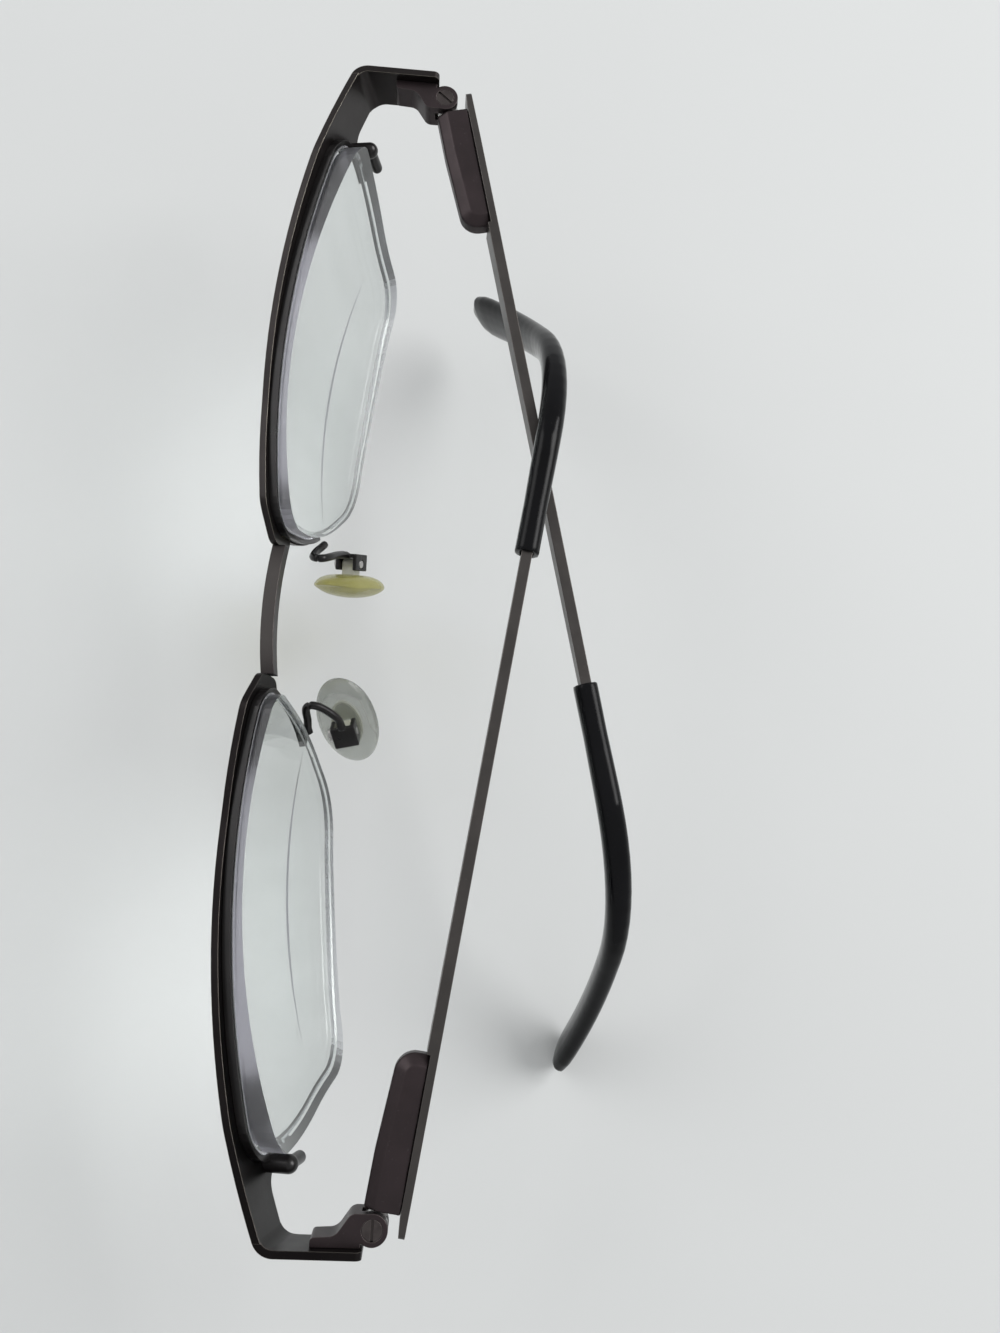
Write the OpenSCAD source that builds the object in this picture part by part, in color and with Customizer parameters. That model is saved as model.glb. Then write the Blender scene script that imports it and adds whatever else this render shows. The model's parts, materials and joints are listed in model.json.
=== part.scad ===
// Semi-rimless metal spectacle frame with spring hinges, folded, in millimetres.
// The wearer looks along -Y, +X is the wearer's left and +Z is up.
// The origin is the middle of the bridge.

/* [Front] */
// Width of a lens, measured as a box
lens_w = 49.5; // [48:0.5:51]
// Height of a lens, measured as a box
lens_h = 30; // [28:0.5:32]
// Gap between the two lenses at the nose
lens_gap = 20; // [19.5:0.5:21]
// Radius of the front's curve, seen from above
front_r = 103.2; // [96:0.4:116]
// How far the centre of that curve lies nearer the nose than the lens centre
wrap_shift = 9.5; // [8.5:0.1:10.5]
// Lean of the front, its lower edge towards the face, in degrees
front_lean = 12; // [10:0.5:14]
// How far the foremost face lies ahead of the hinge screws
front_depth = 20.1; // [19:0.1:22]
// How far the lens centre lies below the top of the hinge screws
lens_drop = 13.5; // [12.5:0.1:14.5]

/* [Brow plate] */
// Thickness of the sheet metal
sheet_t = 0.8; // [0.6:0.05:1]
// Height of the plate above the lens at the nose
brow_nose_h = 2.2; // [1.6:0.1:3]
// Height of the plate above the lens at the temple
brow_temple_h = 2.2; // [1.6:0.1:3]
// Width of the strip beside the lens at the nose
nose_strip_w = 1.2; // [0.9:0.05:1.6]
// Room between the plate's edge and the edge of the lens
lens_room = 0.06; // [0.04:0.01:0.12]
// Distance from the lens to the hinge screw, sideways
endpiece_w = 6.5; // [6:0.1:7.5]
// Outer radius of the bend at the temple
bend_r = 2.3; // [1.8:0.1:3]
// Height of the end flange that carries the hinge
flange_h = 5.7; // [4.8:0.1:6.5]
// Height of the shoulder behind the lens corner, below the flange
shoulder_drop = 0.6; // [0.3:0.1:1.5]
// Thickness of the bridge bar, front to back
bridge_t = 1.6; // [1.3:0.1:2.2]
// Height of the bridge bar
bridge_h = 1.4; // [1.2:0.1:2.4]
// Radius of the bridge bar's curve, seen from above
bridge_r = 52; // [40:1:90]

/* [Lenses] */
// Thickness of a lens at its thinnest point
lens_t = 1.9; // [1.8:0.1:2.6]
// Radius of the hollow back face
back_r = 76; // [66:1:84]
// Distance between the two thinnest points
optical_span = 62; // [56:1:68]
// Width of the reading segment
segment_w = 38; // [28:1:39]
// How far the segment's flat top lies below the lens centre
segment_drop = 4.1; // [2.5:0.1:5]
// How far the segment's flat top stands out of the front face
segment_step = 0.3; // [0.2:0.01:0.36]
// Diameter of the nylon cord that holds the lens
cord_d = 0.5; // [0.4:0.05:0.6]

/* [Nose pads] */
// Height of a nose pad
pad_h = 13.2; // [11:0.2:15]
// Width of a nose pad
pad_w = 7.8; // [6.5:0.1:9]
// Thickness of a nose pad
pad_t = 3; // [2.6:0.1:3.4]
// Distance between the pads' middles
pad_span = 18.9; // [18:0.1:20]
// Flare of the right pad, wider apart below, in degrees
right_pad_flare = 16; // [12:1:20]
// Flare of the left pad, whose arm is bent, in degrees
left_pad_flare = 48; // [44:1:50]
// Forward lean of the right pad's upper end, in degrees
right_pad_lean = 26; // [24:1:28]
// Forward lean of the left pad's upper end, in degrees
left_pad_lean = 16; // [14:1:18]
// Diameter of the wire of a pad arm
arm_wire_d = 1.1; // [0.9:0.05:1.3]
// Diameter of the pad screw
pad_screw_d = 1; // [0.8:0.05:1.1]

/* [Hinges] */
// Diameter of the hinge screw
screw_d = 1.2; // [1:0.05:1.3]
// Diameter of its head
screw_head_d = 2.1; // [1.8:0.05:2.3]
// Height of the hinge
hinge_h = 3.4; // [3:0.1:4]
// Outer radius of the round knuckles
knuckle_r = 1.6; // [1.5:0.05:1.65]
// Running clearance round the screw
run_gap = 0.04; // [0.02:0.01:0.06]
// Height of the carriage eye between the two knuckles
eye_h = 1.2; // [1:0.05:1.3]
// How far the sprung temple can be drawn off its carriage
spring_travel = 1.2; // [0.8:0.1:1.3]
// Length of the hinge housing
housing_l = 15.8; // [14.5:0.1:17]
// Lean of the right hinge screw towards the nose, in degrees
right_screw_lean = 2.5; // [2.4:0.1:4]
// Lean of the left hinge screw towards the nose, in degrees
left_screw_lean = -1.6; // [-2.2:0.1:-1.5]

/* [Temples] */
// Length of a temple from the hinge screw to the tip, along its curve
temple_l = 138; // [134:1:142]
// Length of bare metal from the hinge screw to the sleeve
bare_l = 76.4; // [73:0.2:79]
// Thickness of the temple bar
bar_t = 1.25; // [1:0.05:1.4]
// Height of the temple bar at the hinge
bar_h = 3.8; // [3.2:0.1:4.2]
// Height of the temple bar where it enters the sleeve
bar_end_h = 2.2; // [1.8:0.1:2.6]
// Distance of the bar's inner face outside the hinge screw
bar_offset = 2.15; // [2:0.05:2.4]
// Downward bend of the right tip, in degrees
right_tip_down = 53; // [40:1:56]
// Downward bend of the left tip, in degrees
left_tip_down = 56; // [50:1:58]
// Inward bend of the right tip, in degrees
right_tip_in = 24; // [10:1:28]
// Inward bend of the left tip, in degrees
left_tip_in = 34; // [30:1:36]
// Length along which the tip bends
tip_bend_l = 23.5; // [18:0.5:28]
// Straight length of sleeve before the bend
sleeve_straight_l = 11.5; // [9:0.5:14]
// How much nearer its hinge the left sleeve sits on its bar
left_sleeve_shift = 3; // [0:0.5:4]
// Thickness of the sleeve at its mouth
sleeve_t = 2.9; // [2.6:0.1:3.2]
// Height of the sleeve at its mouth
sleeve_h = 3.3; // [3:0.1:3.4]
// Height of the paddle at the end of the sleeve
paddle_h = 6.2; // [5:0.1:7]
// Right temple's angle, folded in from fully open, in degrees
right_fold = 76.4; // [74:0.2:78]
// Left temple's angle, folded in from fully open, in degrees
left_fold = 82.2; // [81:0.2:84]

/* [Hidden] */

// Gap left where two fixed pieces are brazed, pressed or bedded together
seam = 0.03;
// Facets of a small round and of a large one
small_fn = 48;
large_fn = 180;
// A cutting body is this much longer than what it cuts
over = 1;

// Front view: x sideways and z up in the leaning plane of the front
lens_x = lens_gap / 2 + lens_w / 2;
lens_z = -lens_drop;
hinge_x = lens_gap / 2 + lens_w + endpiece_w;
lens_temple_x = lens_gap / 2 + lens_w;
curve_x = lens_x - wrap_shift;
curve_y = front_r + sheet_t - front_depth;
curve_z = lens_z + 6.5;
lens_front_r = front_r + sheet_t - 0.3;

// Corners of the lens as shares of its box, each with the radius of its rounding
lens_corners = [
    [-0.505, 0.383, 3], [0.506, 0.507, 2.8], [0.5, 0.15, 40], [0.385, -0.403, 7.5],
    [0.052, -0.517, 50], [-0.285, -0.443, 12], [-0.457, -0.067, 30]
];

function unit(v) = v / norm(v);
function wrapped(a) = a > 180 ? a - 360 : (a < -180 ? a + 360 : a);

// Points of one rounded corner at b, between its neighbours a and c
function rounded_corner(a, b, c, r, steps) =
    r == 0 ? [b] :
    let (
        to_a = unit(a - b),
        to_c = unit(c - b),
        half = acos(to_a * to_c) / 2,
        centre = b + unit(to_a + to_c) * r / sin(half),
        start = b + to_a * r / tan(half) - centre,
        end = b + to_c * r / tan(half) - centre,
        from = atan2(start[1], start[0]),
        turn = wrapped(atan2(end[1], end[0]) - from)
    )
    [for (i = [0:steps]) centre + r * [cos(from + turn * i / steps), sin(from + turn * i / steps)]];

// Outline with rounded corners: each corner is [x, y, radius]
function outline(corners, steps = 8) = [
    for (i = [0:len(corners) - 1])
    let (
        n = len(corners),
        a = corners[(i + n - 1) % n],
        b = corners[i],
        c = corners[(i + 1) % n]
    )
    each rounded_corner([a[0], a[1]], [b[0], b[1]], [c[0], c[1]], b[2], steps)
];

// Outline of the lens, grown outwards by a distance
function lens_outline(grow = 0) = outline([
    for (c = lens_corners)
    [lens_x + c[0] * (lens_w + 2 * grow), lens_z + c[1] * (lens_h + 2 * grow), max(c[2] + grow, 0.5)]
]);

// Depth of the sphere of radius r at a place in the front view
function depth_at(x, z, r) = curve_y - sqrt(r * r - pow(x - curve_x, 2) - pow(z - curve_z, 2));

// A tube along points, with one ring of points per place: half sizes are [across, up]
function ring(p, across, up, size, sides, power) = [
    for (k = [0:sides - 1])
    let (a = 360 * k / sides, c = cos(a), s = sin(a))
    p + across * size[0] * sign(c) * pow(abs(c), 2 / power) + up * size[1] * sign(s) * pow(abs(s), 2 / power)
];

module tube(rings) {
    sides = len(rings[0]);
    last = len(rings) - 1;
    polyhedron(
        points = [for (r = rings) each r],
        faces = [
            [for (k = [0:sides - 1]) k],
            [for (k = [sides - 1:-1:0]) last * sides + k],
            for (i = [0:last - 1], k = [0:sides - 1])
            let (n = (k + 1) % sides, a = i * sides, b = a + sides)
            each [[a + k, b + k, b + n], [a + k, b + n, a + n]]
        ],
        convexity = 6
    );
}

// Rings of a round wire along a path of points
function wire_rings(path, r, sides) = [
    for (i = [0:len(path) - 1])
    let (
        t = unit(path[min(i + 1, len(path) - 1)] - path[max(i - 1, 0)]),
        across = unit(cross(t, abs(t[1]) > 0.9 ? [0, 0, 1] : [0, 1, 0])),
        up = cross(t, across)
    )
    ring(path[i], across, up, [r, r], sides, 2)
];

// Smooth path through points, with several steps from each to the next
function smooth(p, steps) = [
    for (i = [0:len(p) - 2], k = [0:steps - 1])
    let (
        a = p[max(i - 1, 0)], b = p[i], c = p[i + 1], d = p[min(i + 2, len(p) - 1)],
        t = k / steps
    )
    0.5 * (2 * b + (c - a) * t + (2 * a - 5 * b + 4 * c - d) * t * t + (3 * b - a - 3 * c + d) * t * t * t),
    p[len(p) - 1]
];

// Places the two mirrored sides: 1 is the wearer's left and -1 the right
module on_side(side) {
    mirror([side < 0 ? 1 : 0, 0, 0]) children();
}

// The bridge's middle becomes the origin; until here it is the point between the hinge screws
module in_frame() {
    translate([0, bridge_back, bridge_up]) children();
}

// The leaning plane of the front
module leaning() {
    rotate([front_lean, 0, 0]) children();
}

// A front-view outline made solid through the whole depth of the front
module through_front(points) {
    translate([0, over, 0])
        rotate([90, 0, 0])
            linear_extrude(front_depth + 4) polygon(points);
}

module ball(r) {
    translate([curve_x, curve_y, curve_z]) sphere(r = r, $fn = large_fn);
}

// Shell between two spheres about the centre of the front's curve
module shell(outer_r, inner_r) {
    difference() {
        ball(outer_r);
        ball(inner_r);
    }
}

// Bridge: a curved bar brazed between the two brow plates
lens_top_nose_z = lens_z + lens_corners[0][1] * lens_h;
lens_top_temple_z = lens_z + lens_corners[1][1] * lens_h;
brow_nose_z = lens_top_nose_z + brow_nose_h;
brow_temple_z = lens_top_temple_z + brow_temple_h;
bridge_z = brow_nose_z - 3.9 - bridge_h / 2;
plate_nose_x = lens_gap / 2 - 2;
bridge_end_x = plate_nose_x - seam;
bridge_front_y = curve_y - sqrt(pow(front_r + sheet_t, 2) - pow(bridge_end_x - curve_x, 2));
bridge_axis_y = bridge_front_y + sqrt(pow(bridge_r, 2) - pow(bridge_end_x, 2));
bridge_mid_y = bridge_axis_y - bridge_r + bridge_t / 2;
bridge_back = -(bridge_mid_y * cos(front_lean) - bridge_z * sin(front_lean));
bridge_up = -(bridge_mid_y * sin(front_lean) + bridge_z * cos(front_lean));

module bridge() {
    color([0.36, 0.32, 0.30])
    in_frame() leaning()
    intersection() {
        translate([0, bridge_axis_y, bridge_z - bridge_h / 2])
            difference() {
                cylinder(r = bridge_r, h = bridge_h, $fn = large_fn);
                translate([0, 0, -over]) cylinder(r = bridge_r - bridge_t, h = bridge_h + 2 * over, $fn = large_fn);
            }
        translate([-bridge_end_x, bridge_axis_y - bridge_r - over, bridge_z - bridge_h])
            cube([2 * bridge_end_x, 8, 2 * bridge_h]);
    }
}

// Brow plate: sheet metal over the lens, bent back at the temple into a flange
bend_x = hinge_x + 1.2;
bend_start_a = asin((bend_x - curve_x) / (front_r + sheet_t));
bend_start_y = curve_y - (front_r + sheet_t) * cos(bend_start_a);
bend_axis_x = bend_x - bend_r * sin(bend_start_a);
bend_axis_y = bend_start_y + bend_r * cos(bend_start_a);
flange_out_x = bend_axis_x + bend_r;
flange_in_x = flange_out_x - sheet_t;
flange_top_z = 1.2;
flange_low_z = flange_top_z - flange_h;
flange_end_y = -0.85;
shoulder_z = flange_low_z - shoulder_drop;
// The same shoulder seen in the leaning plane, at the bend
bend_y = (bend_start_y + flange_top_z * sin(front_lean)) / cos(front_lean);
shoulder_front_z = shoulder_z * cos(front_lean) - (bend_y + 0.9) * sin(front_lean);
flange_front_z = (flange_top_z - bend_start_y * sin(front_lean)) / cos(front_lean);
// Where the strip beside the lens ends at the nose
strip_end_z = lens_z - 4.8;

// Front view of the plate, before the lens is cut out
function brow_outline() = outline([
    [plate_nose_x, brow_nose_z - 2.7, 1.4],
    [lens_gap / 2 + 2, brow_nose_z, 3],
    [lens_gap / 2 + 15, brow_nose_z + 0.2, 25],
    [lens_gap / 2 + lens_w - 3, brow_temple_z, 14],
    [bend_x + 0.02, flange_front_z, 0],
    [bend_x + 0.02, shoulder_front_z, 0],
    [lens_temple_x + 3.8, shoulder_front_z - 0.2, 2],
    [lens_temple_x + 2.2, shoulder_front_z - 2.4, 0],
    [lens_x, lens_z, 0],
    [lens_gap / 2 + 3, lens_top_nose_z - 7, 0],
    [plate_nose_x, brow_nose_z - 8, 2.5]
]);

// The strip keeps the part of a grown lens outline that lies beside the nose
function strip_region() = [
    [lens_gap / 2 - 4, lens_z + 8], [lens_x, lens_z + 8],
    [lens_x - 8, lens_z - 1], [lens_gap / 2 + 8, strip_end_z + 2], [lens_gap / 2 - 3, strip_end_z - 3]
];

// Side view of the flange with its shoulder
function flange_outline() = outline([
    [bend_y - 4, flange_top_z, 0],
    [flange_end_y, flange_top_z, 0.7],
    [flange_end_y, flange_low_z, 0.5],
    [bend_y + 3.4, flange_low_z, 1.5],
    [bend_y + 2.2, shoulder_z, 1],
    [bend_y - 4, shoulder_z, 0]
]);

module plate_shell(points) {
    intersection() {
        translate([curve_x, curve_y, -40])
            difference() {
                cylinder(r = front_r + sheet_t, h = 80, $fn = large_fn);
                translate([0, 0, -over]) cylinder(r = front_r, h = 80 + 2 * over, $fn = large_fn);
            }
        through_front(points);
    }
}

module brow_plate() {
    color([0.27, 0.24, 0.23])
    union() {
        leaning() difference() {
            union() {
                plate_shell(brow_outline());
                intersection() {
                    plate_shell(lens_outline(nose_strip_w));
                    through_front(strip_region());
                }
            }
            through_front(lens_outline(lens_room));
        }
        intersection() {
            leaning() union() {
                translate([bend_axis_x, bend_axis_y, -20])
                    rotate([0, 0, bend_start_a - 90])
                        rotate_extrude(angle = 90 - bend_start_a, $fn = large_fn)
                            translate([bend_r - sheet_t, 0]) square([sheet_t, 40]);
                translate([flange_in_x, bend_axis_y - 0.01, -20]) cube([sheet_t, 16, 40]);
            }
            translate([hinge_x - 4, 0, 0])
                rotate([90, 0, 90]) linear_extrude(12) polygon(flange_outline());
        }
    }
}

// Eyewire: the rail behind the plate round the top of the lens, ending in a hook at the temple
rail_in = 0.31;
rail_t = 0.65;
rail_depth = 0.95;
rail_r = front_r - seam;
hook_r = 1;
hook_rod_r = 0.72;
hook_x = lens_temple_x + 1.6;
hook_z = lens_z + 10.6;
hook_low_z = lens_z + 7.2;
hook_front_y = curve_y - sqrt(pow(rail_r, 2) - pow(hook_x - curve_x, 2));
hook_back_y = hook_front_y + 2.7;
cord_r = lens_front_r - 1.15;
cord_bore_d = cord_d + 0.2;
hook_hole_y = depth_at(lens_temple_x, hook_z, cord_r) + 0.5;

function rail_region() = [
    [lens_gap / 2 - 4, lens_z + 20], [hinge_x, lens_z + 20], [hinge_x, hook_low_z],
    [lens_temple_x - 4, hook_low_z], [lens_x, lens_z + 3],
    [lens_gap / 2 + 8, strip_end_z + 2], [lens_gap / 2 - 3, strip_end_z - 3]
];

// Part of a band round the lens, behind the plate
module rim_band(grow_out, grow_in, depth, region) {
    intersection() {
        difference() {
            through_front(lens_outline(grow_out));
            through_front(lens_outline(grow_in));
        }
        translate([curve_x, curve_y, -40]) difference() {
            cylinder(r = rail_r, h = 80, $fn = large_fn);
            translate([0, 0, -over]) cylinder(r = rail_r - depth, h = 80 + 2 * over, $fn = large_fn);
        }
        through_front(region);
    }
}

// Hook: a round lug behind the plate with a rod down from its end
module hook() {
    intersection() {
        translate([curve_x, curve_y, -40]) cylinder(r = rail_r, h = 80, $fn = large_fn);
        translate([hook_x, hook_back_y, hook_z])
            rotate([90, 0, 0]) cylinder(r = hook_r, h = 5, $fn = small_fn);
    }
    translate([hook_x, hook_back_y, hook_z]) sphere(r = hook_r, $fn = small_fn);
    translate([hook_x, hook_back_y, hook_low_z]) cylinder(r = hook_rod_r, h = hook_z - hook_low_z, $fn = small_fn);
    translate([hook_x, hook_back_y, hook_low_z]) sphere(r = hook_rod_r, $fn = small_fn);
}

module eyewire() {
    color([0.13, 0.12, 0.12])
    leaning() difference() {
        union() {
            rim_band(rail_in + rail_t, rail_in, rail_depth, rail_region());
            hook();
        }
        translate([lens_temple_x - 3, hook_hole_y, hook_z])
            rotate([0, 90, 0]) cylinder(d = cord_bore_d, h = 9, $fn = small_fn);
    }
}

// Rim liner: a clear strip between the rail and the lens
liner_in = 0.05;
liner_out = rail_in - seam;

function liner_region() = [
    [lens_gap / 2 - 4, lens_z + 20], [hinge_x, lens_z + 20], [hinge_x, lens_z + 13.4],
    [lens_x, lens_z + 5], [lens_gap / 2 + 6, lens_z - 1], [lens_gap / 2 - 4, lens_z - 2]
];

module rim_liner() {
    color([0.85, 0.85, 0.88, 0.6])
    leaning() rim_band(liner_out, liner_in, rail_depth, liner_region());
}

// Lens: front and back are parts of spheres, with a groove for the cord round the edge
thin_x = optical_span / 2;
thin_dir = unit([thin_x - curve_x, depth_at(thin_x, lens_z, lens_front_r) - curve_y, lens_z - curve_z]);
back_centre = [curve_x, curve_y, curve_z] + thin_dir * (lens_front_r - lens_t - back_r);
// The cord lies just inside the lens edge, in a groove a little larger
cord_in = cord_d / 2 + 0.03;
groove_half = cord_d / 2 + 0.05;
groove_depth = cord_d + 0.1;
segment_r = 1 / (1 / lens_front_r + 8 * segment_step / pow(segment_w, 2));
segment_z = lens_z - segment_drop;
segment_x = lens_x - 1.4;
segment_front = [segment_x, depth_at(segment_x, segment_z, lens_front_r), segment_z];
segment_dir = unit([curve_x, curve_y, curve_z] - segment_front);
segment_centre = segment_front + segment_dir * (segment_r - segment_step);

module lens() {
    color([0.80, 0.86, 0.86, 0.35])
    leaning() difference() {
        intersection() {
            through_front(lens_outline());
            union() {
                ball(lens_front_r);
                intersection() {
                    translate(segment_centre) sphere(r = segment_r, $fn = large_fn);
                    translate([segment_x, over, segment_z - 4.5])
                        rotate([90, 0, 0]) cylinder(d = segment_w, h = front_depth + 4, $fn = 120);
                    translate([0, -front_depth - 3, segment_z - 40]) cube([80, front_depth + 3, 40]);
                }
            }
        }
        translate(back_centre) sphere(r = back_r, $fn = large_fn);
        intersection() {
            shell(cord_r + groove_half, cord_r - groove_half);
            difference() {
                through_front(lens_outline(1));
                through_front(lens_outline(-groove_depth));
            }
        }
    }
}

// Lens cord: nylon in the groove, from the hook round the free edge to the rail's nose end
cord_points = lens_outline(-cord_in);
cord_edge = [
    for (p = cord_points)
    if (p[1] < lens_z + 8 && !(p[0] < lens_x - 8 && p[1] > strip_end_z + 1)) p
];
cord_flat = concat(
    [
        [hook_x + 0.7, hook_z], [lens_temple_x + 0.45, hook_z],
        [lens_temple_x + 0.08, hook_z - 0.15], [lens_temple_x - 0.1, hook_z - 0.6]
    ],
    cord_edge
);
cord_path = [
    for (i = [0:len(cord_flat) - 2])
    let (
        a = cord_flat[i],
        b = cord_flat[i + 1],
        parts = max(1, ceil(norm(b - a) / 3))
    )
    for (k = [0:parts - 1])
    let (p = a + (b - a) * k / parts)
    [p[0], p[0] > lens_temple_x + 0.2 ? hook_hole_y : depth_at(p[0], p[1], cord_r), p[1]]
];

module lens_cord() {
    color([0.9, 0.9, 0.92, 0.7])
    leaning() tube(wire_rings(cord_path, cord_d / 2, 8));
}

// Nose pad, its insert, the screw and the arm that carries the box
function pad_place(side) = side < 0 ? [pad_span / 2 - 1.05, -9.25, -24.15] : [pad_span / 2 + 1.05, -8.15, -23.6];
function pad_turn(side) = side < 0 ? [right_pad_lean, -right_pad_flare, 0] : [left_pad_lean, -left_pad_flare, 0];
pad_screw_x = 2.75;
box_wall = 0.55;
box_back_x = 4.1;
box_front_x = 1.85;
box_half_w = 1.6;
box_half_h = 1.5;
lug_half_w = box_half_w - box_wall - 0.12;
lug_r = 0.75;
insert_t = 0.6;

module at_pad(side) {
    translate(pad_place(side)) rotate(pad_turn(side)) children();
}

// Oval seen along the pad's own x axis
function oval(half_w, half_h, steps = 40) = [
    for (i = [0:steps - 1]) [half_w * cos(360 * i / steps), half_h * sin(360 * i / steps)]
];

module across_pad(from_x, to_x, points) {
    translate([from_x, 0, 0]) rotate([90, 0, 90]) linear_extrude(to_x - from_x) polygon(points);
}

module insert_body(gap = 0) {
    union() {
        across_pad(-0.1 - gap, insert_t - 0.1 + gap, oval(1.9 + gap, 3.4 + gap, 28));
        translate([0, -lug_half_w - gap, -lug_r - gap])
            cube([pad_screw_x, 2 * (lug_half_w + gap), 2 * (lug_r + gap)]);
        translate([pad_screw_x, 0, 0])
            rotate([90, 0, 0])
                cylinder(r = lug_r + gap, h = 2 * (lug_half_w + gap), center = true, $fn = small_fn);
    }
}

module pad_insert(side) {
    color([0.75, 0.72, 0.6])
    at_pad(side) difference() {
        insert_body();
        translate([pad_screw_x, 0, 0])
            rotate([90, 0, 0]) cylinder(d = pad_screw_d + 2 * run_gap, h = 6, center = true, $fn = small_fn);
    }
}

nose_face_r = 13.4;
nose_side_r = 6.4;
lens_face_r = 26;

module nose_pad(side) {
    color([0.85, 0.86, 0.78, 0.6])
    at_pad(side) difference() {
        intersection() {
            across_pad(-pad_t, pad_t, oval(pad_w / 2, pad_h / 2));
            translate([nose_face_r - pad_t * 0.62, 0, 0]) sphere(r = nose_face_r, $fn = 240);
            translate([nose_side_r - pad_t * 0.62, 0, -pad_h]) cylinder(r = nose_side_r, h = 2 * pad_h, $fn = 240);
            translate([pad_t * 0.38 + 0.2 - lens_face_r, 0, 0]) sphere(r = lens_face_r, $fn = 240);
        }
        insert_body(seam);
    }
}

module pad_screw(side) {
    color([0.7, 0.7, 0.7])
    at_pad(side) translate([pad_screw_x, 0, 0]) rotate([90, 0, 0])
    difference() {
        union() {
            translate([0, 0, -box_half_w]) cylinder(d = pad_screw_d, h = 2 * box_half_w, $fn = small_fn);
            translate([0, 0, box_half_w + seam]) cylinder(r = 0.85, h = 0.5, $fn = small_fn);
            translate([0, 0, box_half_w - 0.1]) cylinder(d = pad_screw_d, h = 0.4, $fn = small_fn);
        }
        translate([-1, -0.12, box_half_w + 0.3]) cube([2, 0.24, 1]);
    }
}

// Pad arm: from a foot on the rail, up and over, and down to the box, as seen from above
function arm_points(side) = side < 0 ? [
    [12.8, -12.7, -20.9], [12.2, -13, -20.3], [11.1, -13.6, -19.2], [9.95, -13.75, -17.7],
    [9.5, -13.1, -16.7], [9.5, -12.3, -16.6], [10, -11.6, -17.5], [10.8, -11, -19.2],
    [11.46, -10.39, -20.84], [11.8, -9.78, -22.05]
] : [
    [12.8, -12.7, -20.9], [12.2, -12.9, -20.3], [11.3, -12.9, -19.2], [10.3, -13.1, -18.2],
    [9.85, -12.85, -17.7], [9.7, -12.2, -17.5], [9.9, -11.2, -17.7], [10.5, -9.9, -18.2],
    [11.2, -8.9, -19.05], [12.2, -8.5, -19.95]
];

module pad_arm(side) {
    color([0.14, 0.13, 0.13])
    union() {
        tube(wire_rings(smooth(arm_points(side), 3), arm_wire_d / 2, 8));
        at_pad(side) difference() {
            translate([box_front_x, -box_half_w, -box_half_h])
                cube([box_back_x - box_front_x, 2 * box_half_w, 2 * box_half_h]);
            translate([box_front_x - over, -box_half_w + box_wall, -box_half_h - over])
                cube([box_back_x - box_front_x - box_wall + over, 2 * (box_half_w - box_wall), 2 * (box_half_h + over)]);
            translate([pad_screw_x, 0, 0])
                rotate([90, 0, 0])
                    cylinder(d = pad_screw_d + 0.04, h = 2 * box_half_w + 2 * over, center = true, $fn = small_fn);
        }
    }
}

// Hinge leaf: a tongue on the flange with two knuckles and a slot for the carriage eye
slot_gap = 0.05;
head_h = 0.42;
leaf_root_y = -6.2;
hinge_mid_z = -hinge_h / 2;

// Outline of the tongue from above, from the flange to the knuckles
tongue_t = 1;
function tongue_outline() = outline([
    [flange_out_x - hinge_x, leaf_root_y, 0],
    [flange_in_x - hinge_x - tongue_t, leaf_root_y, 0.4],
    [flange_in_x - hinge_x - tongue_t - 0.15, -3.7, 1.4],
    [-knuckle_r + 0.04, -2.2, 1],
    [-knuckle_r + 0.04, -0.3, 0],
    [0, 0, 0],
    [knuckle_r - 0.3, -1.1, 0],
    [flange_out_x - hinge_x, -1.1, 0]
]);

module hinge_leaf(side) {
    color([0.33, 0.28, 0.28])
    difference() {
        at_screw(side, 0) difference() {
            union() {
                translate([0, 0, -hinge_h / 2]) cylinder(r = knuckle_r, h = hinge_h, $fn = small_fn);
                translate([0, 0, -hinge_h / 2]) linear_extrude(hinge_h) polygon(tongue_outline());
            }
            translate([0, 0, -eye_h / 2 - slot_gap])
                cylinder(r = knuckle_r + 0.35, h = eye_h + 2 * slot_gap, $fn = small_fn);
            translate([0, 0, -hinge_h]) cylinder(d = screw_d + 0.04, h = 2 * hinge_h, $fn = small_fn);
            translate([0, 0, hinge_h / 2 - head_h - 0.02])
                cylinder(d = screw_head_d + 0.08, h = over, $fn = small_fn);
        }
        translate([flange_in_x - seam, -12, -20]) cube([8, 24, 40]);
    }
}

// Frame of a hinge screw: z along the screw, turned by the fold angle for what folds
function screw_lean(side) = side < 0 ? right_screw_lean : left_screw_lean;
function fold_angle(side) = side < 0 ? right_fold : left_fold;

module at_screw(side, fold) {
    translate([hinge_x, 0, hinge_mid_z])
        rotate([0, -screw_lean(side), 0])
            rotate([0, 0, fold]) children();
}

module hinge_screw(side) {
    color([0.4, 0.36, 0.35])
    at_screw(side, 0) difference() {
        union() {
            translate([0, 0, -hinge_h / 2 + 0.1]) cylinder(d = screw_d, h = hinge_h - 0.2, $fn = small_fn);
            translate([0, 0, hinge_h / 2 - head_h]) cylinder(d = screw_head_d, h = head_h, $fn = small_fn);
        }
        rotate([0, 0, side < 0 ? 40 : 90])
            translate([-0.16, -screw_head_d, hinge_h / 2 - 0.24]) cube([0.32, 2 * screw_head_d, over]);
    }
}

// What folds is drawn open, along +Y from the screw, then turned in: here y is along the temple
module folded(side) {
    at_screw(side, fold_angle(side)) children();
}

// Carriage: the eye on the screw, the slider in the housing and the pin through the spring
housing_y = knuckle_r + 0.18;
// The slider and the spring lie a little outside the screw
slider_x = 0.5;
slider_half_w = 0.72;
slider_half_h = eye_h / 2;
slider_grip = 2.55;
slider_end_y = housing_y + slider_grip + spring_travel;
stop_y = slider_end_y + 1.4;
stop_l = 1;
spring_closed_l = 3.2;
spring_room = spring_closed_l + spring_travel;
pin_r = 0.42;
pin_head_y = stop_y + stop_l + spring_room;
pin_head_l = 0.8;
spring_bore_r = 0.95;

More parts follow.
